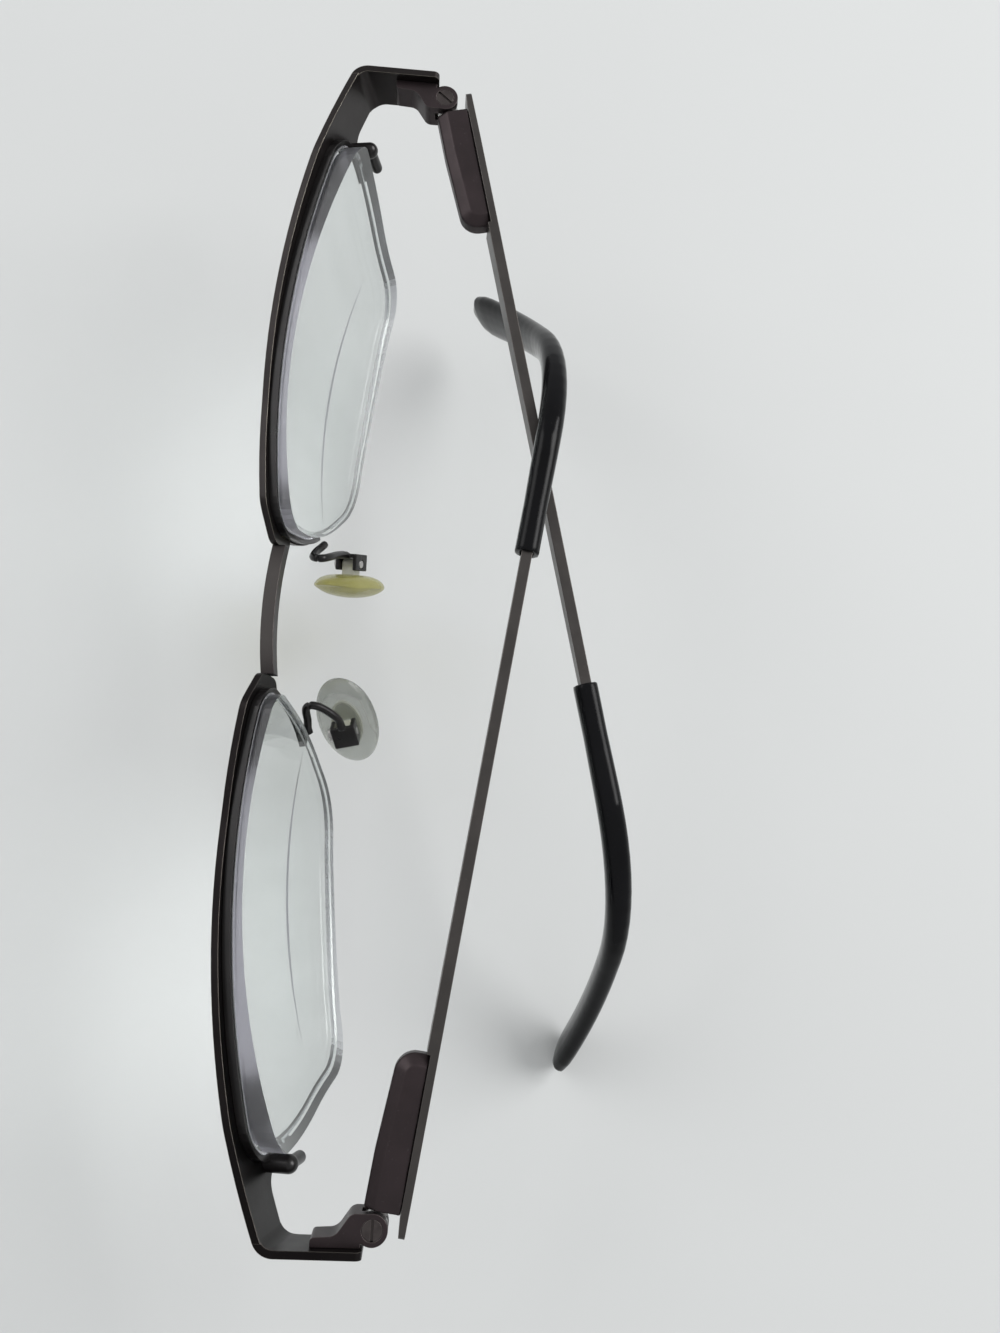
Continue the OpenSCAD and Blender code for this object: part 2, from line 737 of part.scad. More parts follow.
module hinge_carriage(side) {
    color([0.55, 0.52, 0.50])
    folded(side) difference() {
        union() {
            translate([0, 0, -eye_h / 2]) cylinder(r = knuckle_r - 0.05, h = eye_h, $fn = small_fn);
            translate([slider_x - slider_half_w, 0, -slider_half_h])
                cube([2 * slider_half_w, slider_end_y, 2 * slider_half_h]);
            translate([slider_x, slider_end_y - 0.1, 0])
                rotate([-90, 0, 0]) cylinder(r = pin_r, h = pin_head_y - slider_end_y + 0.2, $fn = small_fn);
            translate([slider_x, pin_head_y, 0])
                rotate([-90, 0, 0]) cylinder(r = spring_bore_r - 0.12, h = pin_head_l, $fn = small_fn);
        }
        translate([0, 0, -eye_h]) cylinder(d = screw_d + 2 * run_gap, h = 2 * eye_h, $fn = small_fn);
    }
}

// Hinge spring: wound round the pin between the stop and the pin's head
spring_wire_d = 0.24;
spring_mean_r = 0.66;
spring_turns = 8;
spring_l = spring_room - spring_wire_d - 2 * seam;

module hinge_spring(side) {
    color([0.7, 0.7, 0.68])
    folded(side)
    translate([slider_x, stop_y + stop_l + spring_wire_d / 2 + seam, 0])
        tube([
            for (i = [0:spring_turns * 10])
            let (a = 36 * i, out = [cos(a), 0, sin(a)])
            ring(out * spring_mean_r + [0, spring_l * i / (spring_turns * 10), 0], out, [0, 1, 0],
                [spring_wire_d / 2, spring_wire_d / 2], 6, 2)
        ]);
}

// Spring stop: a bush pressed into the housing, through which the pin slides
module spring_stop(side) {
    color([0.5, 0.5, 0.5])
    folded(side)
    translate([slider_x, stop_y, 0]) rotate([-90, 0, 0])
    difference() {
        cylinder(r = spring_bore_r - seam, h = stop_l, $fn = small_fn);
        translate([0, 0, -over]) cylinder(r = pin_r + run_gap, h = stop_l + 2 * over, $fn = small_fn);
    }
}

// Housing: bevelled on its inner side and round its end, with a slot for the slider and a bore for the spring
housing_end_y = housing_y + housing_l;
bar_recess = 0.4;
housing_in_x = -1.3;
housing_out_x = bar_offset + bar_recess - seam;
housing_h = hinge_h - 0.15;
bevel_w = 1.2;
bevel_d = 0.8;

// Outline of the housing from above, drawn in by a distance from its inner side and its end
function housing_outline(inset) = outline([
    [housing_in_x + inset, housing_y, 0.25],
    [housing_out_x, housing_y, 0],
    [housing_out_x, housing_end_y - inset, 0],
    [housing_in_x + 0.5 + inset, housing_end_y - inset, 2.2 - inset],
    [housing_in_x + inset, housing_y + 0.35 * housing_l, 12]
]);

module hinge_housing(side) {
    color([0.32, 0.26, 0.27])
    folded(side) difference() {
        hull() {
            translate([0, 0, -housing_h / 2]) linear_extrude(housing_h) polygon(housing_outline(bevel_w));
            translate([0, 0, bevel_d - housing_h / 2])
                linear_extrude(housing_h - 2 * bevel_d) polygon(housing_outline(0));
        }
        translate([slider_x - slider_half_w - run_gap, housing_y - over, -slider_half_h - run_gap])
            cube([2 * (slider_half_w + run_gap), stop_y - housing_y + over + 0.2, 2 * (slider_half_h + run_gap)]);
        translate([slider_x, stop_y, 0]) rotate([-90, 0, 0])
            cylinder(r = spring_bore_r, h = pin_head_y + pin_head_l + 0.3 - stop_y, $fn = small_fn);
    }
}

// Centre line of a temple: straight, then bending down and slowly inwards
bar_mid = bar_offset + bar_t / 2;
in_bend_l = 49;
line_steps = 30;
sleeve_l = temple_l - bare_l;
line_step = sleeve_l / line_steps;

function bare(side) = side < 0 ? bare_l : bare_l - left_sleeve_shift;
function tip_down(side) = side < 0 ? right_tip_down : left_tip_down;
function tip_in(side) = side < 0 ? right_tip_in : left_tip_in;
function ramp(s, from, length) = max(0, min(1, (s - from) / length));
// Direction of the line at a length s from the mouth of the sleeve
function heading(side, s) =
    let (
        down = tip_down(side) * ramp(s, sleeve_straight_l, tip_bend_l),
        inward = tip_in(side) * ramp(s, sleeve_straight_l + 3.5, in_bend_l)
    )
    [-sin(inward), cos(down) * cos(inward), -sin(down) * cos(inward)];
// Point of the line after i steps, summed from the mouth of the sleeve
function line_point(side, i) = i == 0 ? [bar_mid, 0, 0] :
    line_point(side, i - 1) + heading(side, (i - 0.5) * line_step) * line_step;

// Ring of the sleeve or of its core after i steps
function tip_ring(side, i, half_t, half_h, sides, power) =
    let (
        t = heading(side, i * line_step),
        across = unit([t[1], -t[0], 0]),
        up = cross(t, across)
    )
    ring(line_point(side, i), across, up, [half_t, half_h], sides, power);

core_last = line_steps - 4;
core_half_t = bar_t / 2 - 0.1;
core_half_h = bar_end_h / 2 - 0.1;

// Temple arm: a flat bar, tapering to the sleeve, with a thin core inside it
bar_start_y = -0.5;
bar_in_sleeve = 0.5;

module temple_arm(side) {
    bar_end = bare(side) + bar_in_sleeve;
    color([0.34, 0.31, 0.30])
    folded(side) union() {
        intersection() {
            translate([0, 0, -bar_h]) linear_extrude(2 * bar_h) polygon([
                [bar_offset + bar_t, bar_start_y], [bar_offset + bar_t, bar_end],
                [bar_offset, bar_end], [bar_offset, housing_end_y + 0.1],
                [bar_offset + bar_recess, housing_end_y + 0.1], [bar_offset + bar_recess, 1.6],
                [bar_offset + bar_recess + 0.2, bar_start_y]
            ]);
            translate([bar_offset - over, 0, 0]) rotate([90, 0, 90])
                linear_extrude(bar_t + 2 * over) polygon(outline([
                    [bar_start_y, -bar_h / 2 + 0.25, 0.8], [bar_start_y, bar_h / 2 - 0.25, 0.8],
                    [6, bar_h / 2, 10], [housing_end_y + 2, bar_h / 2, 20],
                    [bar_end, bar_end_h / 2, 0], [bar_end, -bar_end_h / 2, 0],
                    [housing_end_y + 2, -bar_h / 2, 20], [6, -bar_h / 2, 10]
                ]));
        }
        translate([0, bare(side), 0])
            tube([for (i = [0:core_last]) tip_ring(side, i, core_half_t, core_half_h, 12, 4)]);
    }
}

// Half sizes of the sleeve along its length, u from 0 to 1, with a round end
function sleeve_half_t(u) = (sleeve_t - 0.5 * u) / 2 + 0.2 * sin(180 * ramp(u, 0.1, 0.5));
function sleeve_half_h(u) = sleeve_h / 2 + (paddle_h - sleeve_h) / 2 * pow(ramp(u, 0.25, 0.65), 1.5);
function end_round(u) = u < 0.94 ? 1 : sqrt(max(0.02, 1 - pow((u - 0.94) / 0.062, 2)));

module temple_tip(side) {
    color([0.05, 0.05, 0.05])
    folded(side) translate([0, bare(side), 0]) difference() {
        tube([
            for (i = [0:line_steps])
            let (u = i / line_steps)
            tip_ring(side, i, sleeve_half_t(u) * max(end_round(u), 0.55), sleeve_half_h(u) * end_round(u), 16, 2.6)
        ]);
        tube(concat(
            [[for (p = tip_ring(side, 0, core_half_t + seam, core_half_h + seam, 12, 4)) p - heading(side, 0)]],
            [for (i = [1:core_last + 1]) tip_ring(side, i, core_half_t + seam, core_half_h + seam, 12, 4)]
        ));
        translate([bar_offset - seam, -over, -bar_end_h / 2 - seam])
            cube([bar_t + 2 * seam, over + bar_in_sleeve + seam, bar_end_h + 2 * seam]);
    }
}

bridge();
in_frame() on_side(-1) brow_plate();  // right_brow_plate
in_frame() on_side(1) brow_plate();  // left_brow_plate
in_frame() on_side(-1) eyewire();  // right_eyewire
in_frame() on_side(1) eyewire();  // left_eyewire
in_frame() on_side(-1) rim_liner();  // right_rim_liner
in_frame() on_side(1) rim_liner();  // left_rim_liner
in_frame() on_side(-1) lens();  // right_lens
in_frame() on_side(1) lens();  // left_lens
in_frame() on_side(-1) lens_cord();  // right_lens_cord
in_frame() on_side(1) lens_cord();  // left_lens_cord
in_frame() on_side(-1) pad_arm(-1);  // right_pad_arm
in_frame() on_side(1) pad_arm(1);  // left_pad_arm
in_frame() on_side(-1) pad_screw(-1);  // right_pad_screw
in_frame() on_side(1) pad_screw(1);  // left_pad_screw
in_frame() on_side(-1) pad_insert(-1);  // right_pad_insert
in_frame() on_side(1) pad_insert(1);  // left_pad_insert
in_frame() on_side(-1) nose_pad(-1);  // right_nose_pad
in_frame() on_side(1) nose_pad(1);  // left_nose_pad
in_frame() on_side(-1) hinge_leaf(-1);  // right_hinge_leaf
in_frame() on_side(1) hinge_leaf(1);  // left_hinge_leaf
in_frame() on_side(-1) hinge_screw(-1);  // right_hinge_screw
in_frame() on_side(1) hinge_screw(1);  // left_hinge_screw
in_frame() on_side(-1) hinge_carriage(-1);  // right_hinge_carriage
in_frame() on_side(1) hinge_carriage(1);  // left_hinge_carriage
in_frame() on_side(-1) hinge_spring(-1);  // right_hinge_spring
in_frame() on_side(1) hinge_spring(1);  // left_hinge_spring
in_frame() on_side(-1) spring_stop(-1);  // right_spring_stop
in_frame() on_side(1) spring_stop(1);  // left_spring_stop
in_frame() on_side(-1) hinge_housing(-1);  // right_hinge_housing
in_frame() on_side(1) hinge_housing(1);  // left_hinge_housing
in_frame() on_side(-1) temple_arm(-1);  // right_temple_arm
in_frame() on_side(1) temple_arm(1);  // left_temple_arm
in_frame() on_side(-1) temple_tip(-1);  // right_temple_tip
in_frame() on_side(1) temple_tip(1);  // left_temple_tip
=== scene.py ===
import json
import math

import bpy
from mathutils import Matrix, Vector


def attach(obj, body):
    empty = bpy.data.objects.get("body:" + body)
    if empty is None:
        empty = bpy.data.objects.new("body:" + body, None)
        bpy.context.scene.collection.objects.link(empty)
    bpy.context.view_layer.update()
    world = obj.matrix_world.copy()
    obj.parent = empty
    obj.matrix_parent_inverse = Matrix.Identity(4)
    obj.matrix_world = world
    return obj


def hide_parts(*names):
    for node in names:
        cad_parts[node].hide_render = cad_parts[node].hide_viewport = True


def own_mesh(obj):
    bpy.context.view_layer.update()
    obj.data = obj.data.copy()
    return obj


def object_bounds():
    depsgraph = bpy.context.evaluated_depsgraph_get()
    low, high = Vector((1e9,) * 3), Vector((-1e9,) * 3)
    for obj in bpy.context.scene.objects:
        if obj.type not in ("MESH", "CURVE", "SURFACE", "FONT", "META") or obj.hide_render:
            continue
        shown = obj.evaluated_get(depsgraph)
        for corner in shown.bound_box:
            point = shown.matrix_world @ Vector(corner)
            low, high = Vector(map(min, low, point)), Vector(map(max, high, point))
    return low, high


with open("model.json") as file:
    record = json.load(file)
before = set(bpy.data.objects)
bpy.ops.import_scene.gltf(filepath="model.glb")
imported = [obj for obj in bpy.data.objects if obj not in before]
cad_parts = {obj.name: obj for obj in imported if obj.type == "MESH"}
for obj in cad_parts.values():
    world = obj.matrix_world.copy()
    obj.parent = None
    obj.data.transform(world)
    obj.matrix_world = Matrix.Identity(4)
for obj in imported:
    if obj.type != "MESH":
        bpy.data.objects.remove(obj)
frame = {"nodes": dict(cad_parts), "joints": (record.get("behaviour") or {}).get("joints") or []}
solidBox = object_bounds()
nodes = frame["nodes"]
sides = ("right", "left")
print("frame loaded:", len(nodes), "nodes")

# direction through the leaning front, from the outside towards the face
frontLean = math.radians(12)
throughFront = (0.0, math.cos(frontLean), math.sin(frontLean))


# small helpers for node trees

def newGroup(name, inputs, outputs):
    group = bpy.data.node_groups.new(name, "ShaderNodeTree")
    for label, kind, value in inputs:
        socket = group.interface.new_socket(name=label, in_out="INPUT", socket_type=kind)
        socket.default_value = value
    for label, kind in outputs:
        group.interface.new_socket(name=label, in_out="OUTPUT", socket_type=kind)
    start = group.nodes.new("NodeGroupInput")
    end = group.nodes.new("NodeGroupOutput")
    return group, start.outputs, end.inputs


def mathNode(tree, operation, a, b=None, clamp=False):
    node = tree.nodes.new("ShaderNodeMath")
    node.operation = operation
    node.use_clamp = clamp
    for index, value in enumerate((a, b)):
        if value is None:
            continue
        if isinstance(value, (int, float)):
            node.inputs[index].default_value = value
        else:
            tree.links.new(value, node.inputs[index])
    return node.outputs[0]


def mixColour(tree, factor, a, b):
    node = tree.nodes.new("ShaderNodeMix")
    node.data_type = "RGBA"
    sockets = node.inputs[0], node.inputs[6], node.inputs[7]   # the factor and the two colours
    for socket, value in zip(sockets, (factor, a, b)):
        if isinstance(value, tuple):
            socket.default_value = (*value, 1.0)
        else:
            tree.links.new(value, socket)
    return node.outputs[2]


def noiseAt(tree, scale, detail, roughness, stretch=None):
    place = tree.nodes.new("ShaderNodeTexCoord")
    spot = place.outputs["Object"]
    if stretch:
        mapping = tree.nodes.new("ShaderNodeMapping")
        mapping.inputs["Scale"].default_value = stretch
        tree.links.new(spot, mapping.inputs["Vector"])
        spot = mapping.outputs["Vector"]
    noise = tree.nodes.new("ShaderNodeTexNoise")
    noise.inputs["Detail"].default_value = detail
    noise.inputs["Roughness"].default_value = roughness
    tree.links.new(spot, noise.inputs["Vector"])
    if isinstance(scale, (int, float)):
        noise.inputs["Scale"].default_value = scale
    else:
        tree.links.new(scale, noise.inputs["Scale"])
    return noise.outputs["Fac"]


def rampBetween(tree, value, low, high, interpolation="LINEAR"):
    ramp = tree.nodes.new("ShaderNodeMapRange")
    ramp.interpolation_type = interpolation
    ramp.inputs["From Min"].default_value = low
    ramp.inputs["From Max"].default_value = high
    tree.links.new(value, ramp.inputs["Value"])
    return ramp.outputs["Result"]


def splitVector(tree, vector):
    parts = tree.nodes.new("ShaderNodeSeparateXYZ")
    tree.links.new(vector, parts.inputs[0])
    return parts.outputs


def useGroup(tree, group, **values):
    node = tree.nodes.new("ShaderNodeGroup")
    node.node_tree = group
    for label, value in values.items():
        socket = node.inputs[label.replace("_", " ")]
        if isinstance(value, (int, float)):
            socket.default_value = value
        elif isinstance(value, tuple):
            socket.default_value = (*value, 1.0)
        else:
            tree.links.new(value, socket)
    return node.outputs


def addBump(tree, height, strength, distance, normal=None):
    bump = tree.nodes.new("ShaderNodeBump")
    bump.inputs["Strength"].default_value = strength
    bump.inputs["Distance"].default_value = distance
    tree.links.new(height, bump.inputs["Height"])
    if normal is not None:
        tree.links.new(normal, bump.inputs["Normal"])
    return bump.outputs[0]


# node groups shared by several finishes; lengths are in metres and noise scales per metre

# lacquer rubbed off along the edges, in patches, with a painted highlight along the same edges, and
# the normal of the rounded edge
wearAndHighlightSettings = {
    "radius": 0.00015, "patchScale": 900.0,
    "bevelSamples": 6, "edgeGain": 4.0,
    "patchDetail": 4.0, "patchRoughness": 0.6, "patchLeast": 0.35,
}


def makeEdgeWearAndHighlight(settings):
    group, given, made = newGroup(
        "edgeWearAndHighlight",
        [("Radius", "NodeSocketFloat", settings["radius"]), ("Amount", "NodeSocketFloat", 1.0),
         ("Patch Scale", "NodeSocketFloat", settings["patchScale"])],
        [("Mask", "NodeSocketFloat"), ("Normal", "NodeSocketVector")],
    )
    soft = group.nodes.new("ShaderNodeBevel")
    soft.samples = settings["bevelSamples"]
    group.links.new(given["Radius"], soft.inputs["Radius"])
    geometry = group.nodes.new("ShaderNodeNewGeometry")
    dot = group.nodes.new("ShaderNodeVectorMath")
    dot.operation = "DOT_PRODUCT"
    group.links.new(soft.outputs[0], dot.inputs[0])
    group.links.new(geometry.outputs["Normal"], dot.inputs[1])
    turn = mathNode(group, "SUBTRACT", 1.0, dot.outputs["Value"])
    edge = mathNode(group, "MULTIPLY", turn, settings["edgeGain"], True)
    patch = noiseAt(
        group, given["Patch Scale"], settings["patchDetail"], settings["patchRoughness"])
    lifted = mathNode(group, "ADD", patch, settings["patchLeast"])
    broken = mathNode(group, "MULTIPLY", edge, lifted)
    group.links.new(mathNode(group, "MULTIPLY", broken, given["Amount"], True), made["Mask"])
    group.links.new(soft.outputs[0], made["Normal"])
    return group


# fine grain for the bump, and a roughness that wanders on a broader scale
grainSettings = {
    "scale": 2500.0, "roughness": 0.4, "spread": 0.12,
    "fineDetail": 4.0, "fineRoughness": 0.6,
    "broadShare": 0.06, "broadDetail": 3.0, "broadRoughness": 0.55,
}


def makeSurfaceGrain(settings):
    group, given, made = newGroup(
        "surfaceGrain",
        [("Scale", "NodeSocketFloat", settings["scale"]),
         ("Base Roughness", "NodeSocketFloat", settings["roughness"]),
         ("Spread", "NodeSocketFloat", settings["spread"])],
        [("Height", "NodeSocketFloat"), ("Roughness", "NodeSocketFloat")],
    )
    fine = noiseAt(group, given["Scale"], settings["fineDetail"], settings["fineRoughness"])
    broadScale = mathNode(group, "MULTIPLY", given["Scale"], settings["broadShare"])
    broad = noiseAt(group, broadScale, settings["broadDetail"], settings["broadRoughness"])
    around = mathNode(group, "SUBTRACT", broad, 0.5)
    change = mathNode(group, "MULTIPLY", around, mathNode(group, "MULTIPLY", given["Spread"], 2.0))
    group.links.new(fine, made["Height"])
    roughness = mathNode(group, "ADD", given["Base Roughness"], change, True)
    group.links.new(roughness, made["Roughness"])
    return group


# slow change between two tones of one colour
toneSettings = {
    "colour": (0.1, 0.1, 0.1, 1), "secondColour": (0.2, 0.2, 0.2, 1),
    "scale": 150.0, "amount": 0.6, "detail": 4.0, "roughness": 0.6,
    "cloudFrom": 0.35, "cloudTo": 0.68,
}


def makeToneShift(settings):
    group, given, made = newGroup(
        "toneShift",
        [("Colour", "NodeSocketColor", settings["colour"]),
         ("Second Colour", "NodeSocketColor", settings["secondColour"]),
         ("Scale", "NodeSocketFloat", settings["scale"]),
         ("Amount", "NodeSocketFloat", settings["amount"])],
        [("Colour", "NodeSocketColor")],
    )
    cloud = noiseAt(group, given["Scale"], settings["detail"], settings["roughness"])
    ramp = rampBetween(group, cloud, settings["cloudFrom"], settings["cloudTo"])
    share = mathNode(group, "MULTIPLY", ramp, given["Amount"], True)
    shifted = mixColour(group, share, given["Colour"], given["Second Colour"])
    group.links.new(shifted, made["Colour"])
    return group


# specks of dust on what faces up
dustSettings = {
    "colour": (0.1, 0.1, 0.1, 1), "dustColour": (0.30, 0.29, 0.28, 1),
    "amount": 0.3, "speckScale": 2600.0, "detail": 2.0, "roughness": 0.5,
    "speckFrom": 0.66, "speckTo": 0.85,
}


def makeDustFilm(settings):
    group, given, made = newGroup(
        "dustFilm",
        [("Colour", "NodeSocketColor", settings["colour"]),
         ("Dust Colour", "NodeSocketColor", settings["dustColour"]),
         ("Amount", "NodeSocketFloat", settings["amount"]),
         ("Speck Scale", "NodeSocketFloat", settings["speckScale"])],
        [("Colour", "NodeSocketColor")],
    )
    geometry = group.nodes.new("ShaderNodeNewGeometry")
    normal = splitVector(group, geometry.outputs["Normal"])
    upward = mathNode(group, "MULTIPLY", normal["Z"], 1.0, True)
    specks = noiseAt(group, given["Speck Scale"], settings["detail"], settings["roughness"])
    ramp = rampBetween(group, specks, settings["speckFrom"], settings["speckTo"])
    lying = mathNode(group, "MULTIPLY", upward, ramp)
    share = mathNode(group, "MULTIPLY", lying, given["Amount"], True)
    dusted = mixColour(group, share, given["Colour"], given["Dust Colour"])
    group.links.new(dusted, made["Colour"])
    return group


edgeWearAndHighlight = makeEdgeWearAndHighlight(wearAndHighlightSettings)
surfaceGrain = makeSurfaceGrain(grainSettings)
toneShift = makeToneShift(toneSettings)
dustFilm = makeDustFilm(dustSettings)
print("node groups made")


# finishes

def newFinish(name):
    finish = bpy.data.materials.new(name)
    finish.use_nodes = True
    tree = finish.node_tree
    tree.nodes.clear()
    surface = tree.nodes.new("ShaderNodeBsdfPrincipled")
    output = tree.nodes.new("ShaderNodeOutputMaterial")
    tree.links.new(surface.outputs[0], output.inputs["Surface"])
    return finish, tree, surface


# the same on every lacquered metal
metalShared = {"toneAmount": 0.7, "grainDepth": 0.00002, "coatRoughness": 0.12}


def lacqueredMetal(name, look):
    finish, tree, surface = newFinish(name)
    tone = useGroup(
        tree, toneShift, Colour=look["colour"], Second_Colour=look["secondColour"],
        Scale=look["toneScale"], Amount=metalShared["toneAmount"])
    wearAndHighlight = useGroup(tree, edgeWearAndHighlight, Radius=look["edgeRadius"], Amount=look["edgeWearAndHighlight"])
    # the lighter edge colour is partly worn lacquer and partly a painted highlight along the edges
    wornAndHighlit = mixColour(tree, wearAndHighlight["Mask"], tone["Colour"], look["wornAndHighlitEdgeColour"])
    dusty = useGroup(tree, dustFilm, Colour=wornAndHighlit, Amount=look["dust"])
    grain = useGroup(
        tree, surfaceGrain, Scale=look["grainScale"],
        Base_Roughness=look["roughness"], Spread=look["roughnessSpread"])
    bump = addBump(tree, grain["Height"], look["grain"], metalShared["grainDepth"], wearAndHighlight["Normal"])
    tree.links.new(dusty["Colour"], surface.inputs["Base Color"])
    tree.links.new(grain["Roughness"], surface.inputs["Roughness"])
    tree.links.new(bump, surface.inputs["Normal"])
    surface.inputs["Metallic"].default_value = look["metallic"]
    surface.inputs["Coat Weight"].default_value = look["coat"]
    surface.inputs["Coat Roughness"].default_value = metalShared["coatRoughness"]
    return finish


# each edge colour is the worn edge and a painted edge highlight together
metalLooks = {
    "plate": dict(
        colour=(0.017, 0.0138, 0.0136), secondColour=(0.026, 0.0215, 0.0205), toneScale=160.0,
        wornAndHighlitEdgeColour=(0.27, 0.25, 0.21), edgeRadius=0.00011, edgeWearAndHighlight=1.1, dust=0.05,
        grainScale=3200.0, roughness=0.36, roughnessSpread=0.10, grain=0.2,
        metallic=0.8, coat=0.08),
    # a shaded copy of the plate finish: its darker colours are painted shade on this side, and its
    # duller edges carry less painted edge highlight as well as less wear
    "plateLeftShaded": dict(   # darker, and less worn at the edges
        colour=(0.009, 0.0072, 0.0074), secondColour=(0.014, 0.0115, 0.0112), toneScale=160.0,
        wornAndHighlitEdgeColour=(0.20, 0.18, 0.16), edgeRadius=0.00011, edgeWearAndHighlight=0.9, dust=0.03,
        grainScale=3200.0, roughness=0.36, roughnessSpread=0.10, grain=0.2,
        metallic=0.9, coat=0.0),
    "rim": dict(
        colour=(0.010, 0.009, 0.0092), secondColour=(0.017, 0.015, 0.015), toneScale=300.0,
        wornAndHighlitEdgeColour=(0.06, 0.055, 0.052), edgeRadius=0.00012, edgeWearAndHighlight=0.35, dust=0.06,
        grainScale=3600.0, roughness=0.32, roughnessSpread=0.12, grain=0.3,
        metallic=0.5, coat=0.12),
    "hinge": dict(
        colour=(0.040, 0.029, 0.031), secondColour=(0.028, 0.021, 0.022), toneScale=260.0,
        wornAndHighlitEdgeColour=(0.17, 0.145, 0.14), edgeRadius=0.00014, edgeWearAndHighlight=0.7, dust=0.08,
        grainScale=2800.0, roughness=0.42, roughnessSpread=0.12, grain=0.35,
        metallic=0.75, coat=0.04),
    "screw": dict(
        colour=(0.055, 0.046, 0.045), secondColour=(0.085, 0.073, 0.070), toneScale=900.0,
        wornAndHighlitEdgeColour=(0.26, 0.23, 0.22), edgeRadius=0.00008, edgeWearAndHighlight=0.45, dust=0.08,
        grainScale=4200.0, roughness=0.40, roughnessSpread=0.15, grain=0.5,
        metallic=0.8, coat=0.0),
    "temple": dict(
        colour=(0.058, 0.053, 0.050), secondColour=(0.080, 0.072, 0.068), toneScale=200.0,
        wornAndHighlitEdgeColour=(0.22, 0.20, 0.185), edgeRadius=0.00014, edgeWearAndHighlight=0.8, dust=0.06,
        grainScale=3000.0, roughness=0.38, roughnessSpread=0.1, grain=0.25,
        metallic=0.8, coat=0.06),
    "steel": dict(
        colour=(0.42, 0.41, 0.40), secondColour=(0.52, 0.51, 0.50), toneScale=700.0,
        wornAndHighlitEdgeColour=(0.7, 0.69, 0.68), edgeRadius=0.0001, edgeWearAndHighlight=0.5, dust=0.05,
        grainScale=5200.0, roughness=0.32, roughnessSpread=0.1, grain=0.3,
        metallic=1.0, coat=0.0),
}
metals = {name: lacqueredMetal(name + "Metal", look) for name, look in metalLooks.items()}

# darkFrom and darkTo are distances from the middle of the bridge, in metres
bridgeLook = dict(
    colour=(0.042, 0.0375, 0.036), secondColour=(0.050, 0.045, 0.043), toneScale=220.0,
    wornAndHighlitEdgeColour=(0.20, 0.18, 0.17), edgeRadius=0.00014, edgeWearAndHighlight=0.5, dust=0.05,
    grainScale=3200.0, roughness=0.38, roughnessSpread=0.08, grain=0.2,
    metallic=0.85, coat=0.05, darkFrom=0.004, darkTo=0.0095)


def bridgeMetal(look, plateColour):
    # takes on the plates' colour towards both ends
    finish = lacqueredMetal("bridgeTwoTone", look)
    tree = finish.node_tree
    surface = next(node for node in tree.nodes if node.type == "BSDF_PRINCIPLED")
    before = surface.inputs["Base Color"].links[0].from_socket
    place = tree.nodes.new("ShaderNodeTexCoord")
    fromMiddle = mathNode(tree, "ABSOLUTE", splitVector(tree, place.outputs["Object"])["X"])
    outwards = rampBetween(tree, fromMiddle, look["darkFrom"], look["darkTo"], "SMOOTHSTEP")
    tree.links.new(mixColour(tree, outwards, before, plateColour), surface.inputs["Base Color"])
    return finish


metals["bridge"] = bridgeMetal(bridgeLook, metalLooks["plate"]["colour"])


def passLight(tree, surface, tint):
    # lamps shine through clear pieces instead of leaving a black shadow
    shown = surface.outputs[0].links[0].to_socket
    path = tree.nodes.new("ShaderNodeLightPath")
    through = tree.nodes.new("ShaderNodeBsdfTransparent")
    through.inputs["Color"].default_value = (*tint, 1.0)
    mix = tree.nodes.new("ShaderNodeMixShader")
    tree.links.new(path.outputs["Is Shadow Ray"], mix.inputs[0])
    tree.links.new(surface.outputs[0], mix.inputs[1])
    tree.links.new(through.outputs[0], mix.inputs[2])
    tree.links.new(mix.outputs[0], shown)


# edgeStart and edgeEnd tell the polished faces from the ground edge: they are cosines between
# the normal and throughFront
lensLook = {
    "faceTint": (0.86, 0.89, 0.88), "shadowTint": (0.93, 0.94, 0.94),
    "streakTint": (0.76, 0.79, 0.78), "streakScale": 260.0, "streakDetail": 3.0,
    "streakRoughness": 0.5, "streakStretch": (1.0, 1.0, 0.12),
    "smearScale": 90.0, "smear": 0.02,
    # the ground edge tint is partly the grey of the frosted edge and partly painted shade for the
    # dark outline along the lens edge
    "edgeStart": 0.62, "edgeEnd": 0.50, "edgeTintAndShade": (0.50, 0.49, 0.55), "edgeRoughness": 0.30,
    "cloudScale": 500.0, "cloudShade": 0.9,
    "grainScale": 3200.0, "grain": 0.35, "grainDepth": 0.00003,
    "noiseDetail": 4.0, "noiseRoughness": 0.6, "ior": 1.5,
}


